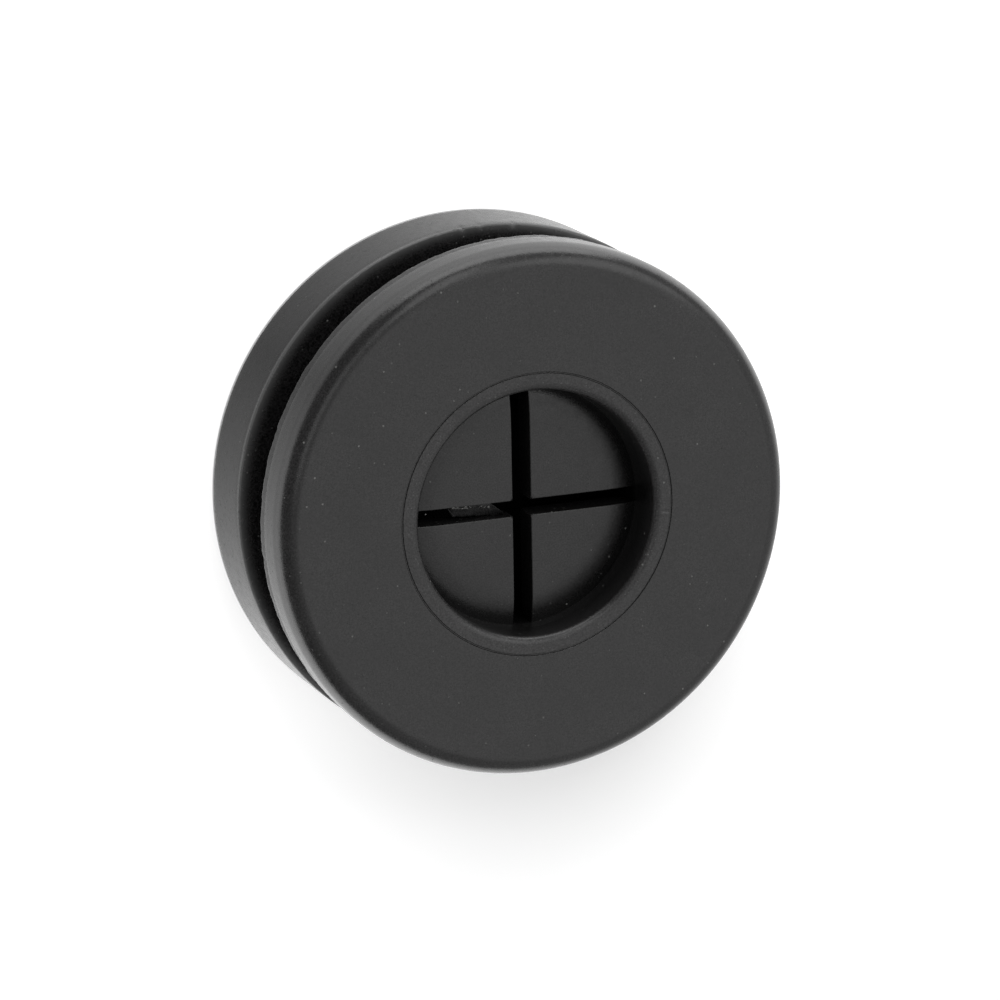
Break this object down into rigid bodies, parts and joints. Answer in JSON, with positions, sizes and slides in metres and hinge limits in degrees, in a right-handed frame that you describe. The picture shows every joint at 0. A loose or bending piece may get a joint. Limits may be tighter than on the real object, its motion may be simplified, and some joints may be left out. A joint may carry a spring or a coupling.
{
  "type": "rubber grommet",
  "caption": "Round rubber panel grommet: two flanges with a groove between them, and a bore closed by a cross-slit membrane that a cable pushes through.",
  "frame": {"origin": "centre of the rear flange's flat face, on the bore's axis", "axes": "+Z along the bore's axis from the rear face to the front face; +X and +Y along the membrane's two slits, with the torn strip on the -X side"},
  "size_m": [0.03, 0.03, 0.0113],
  "materials": {
    "rubber": "matt moulded black rubber with a fine grain"
  },
  "bodies": {
    "root": {"grommet": "rubber"}
  },
  "joints": []
}
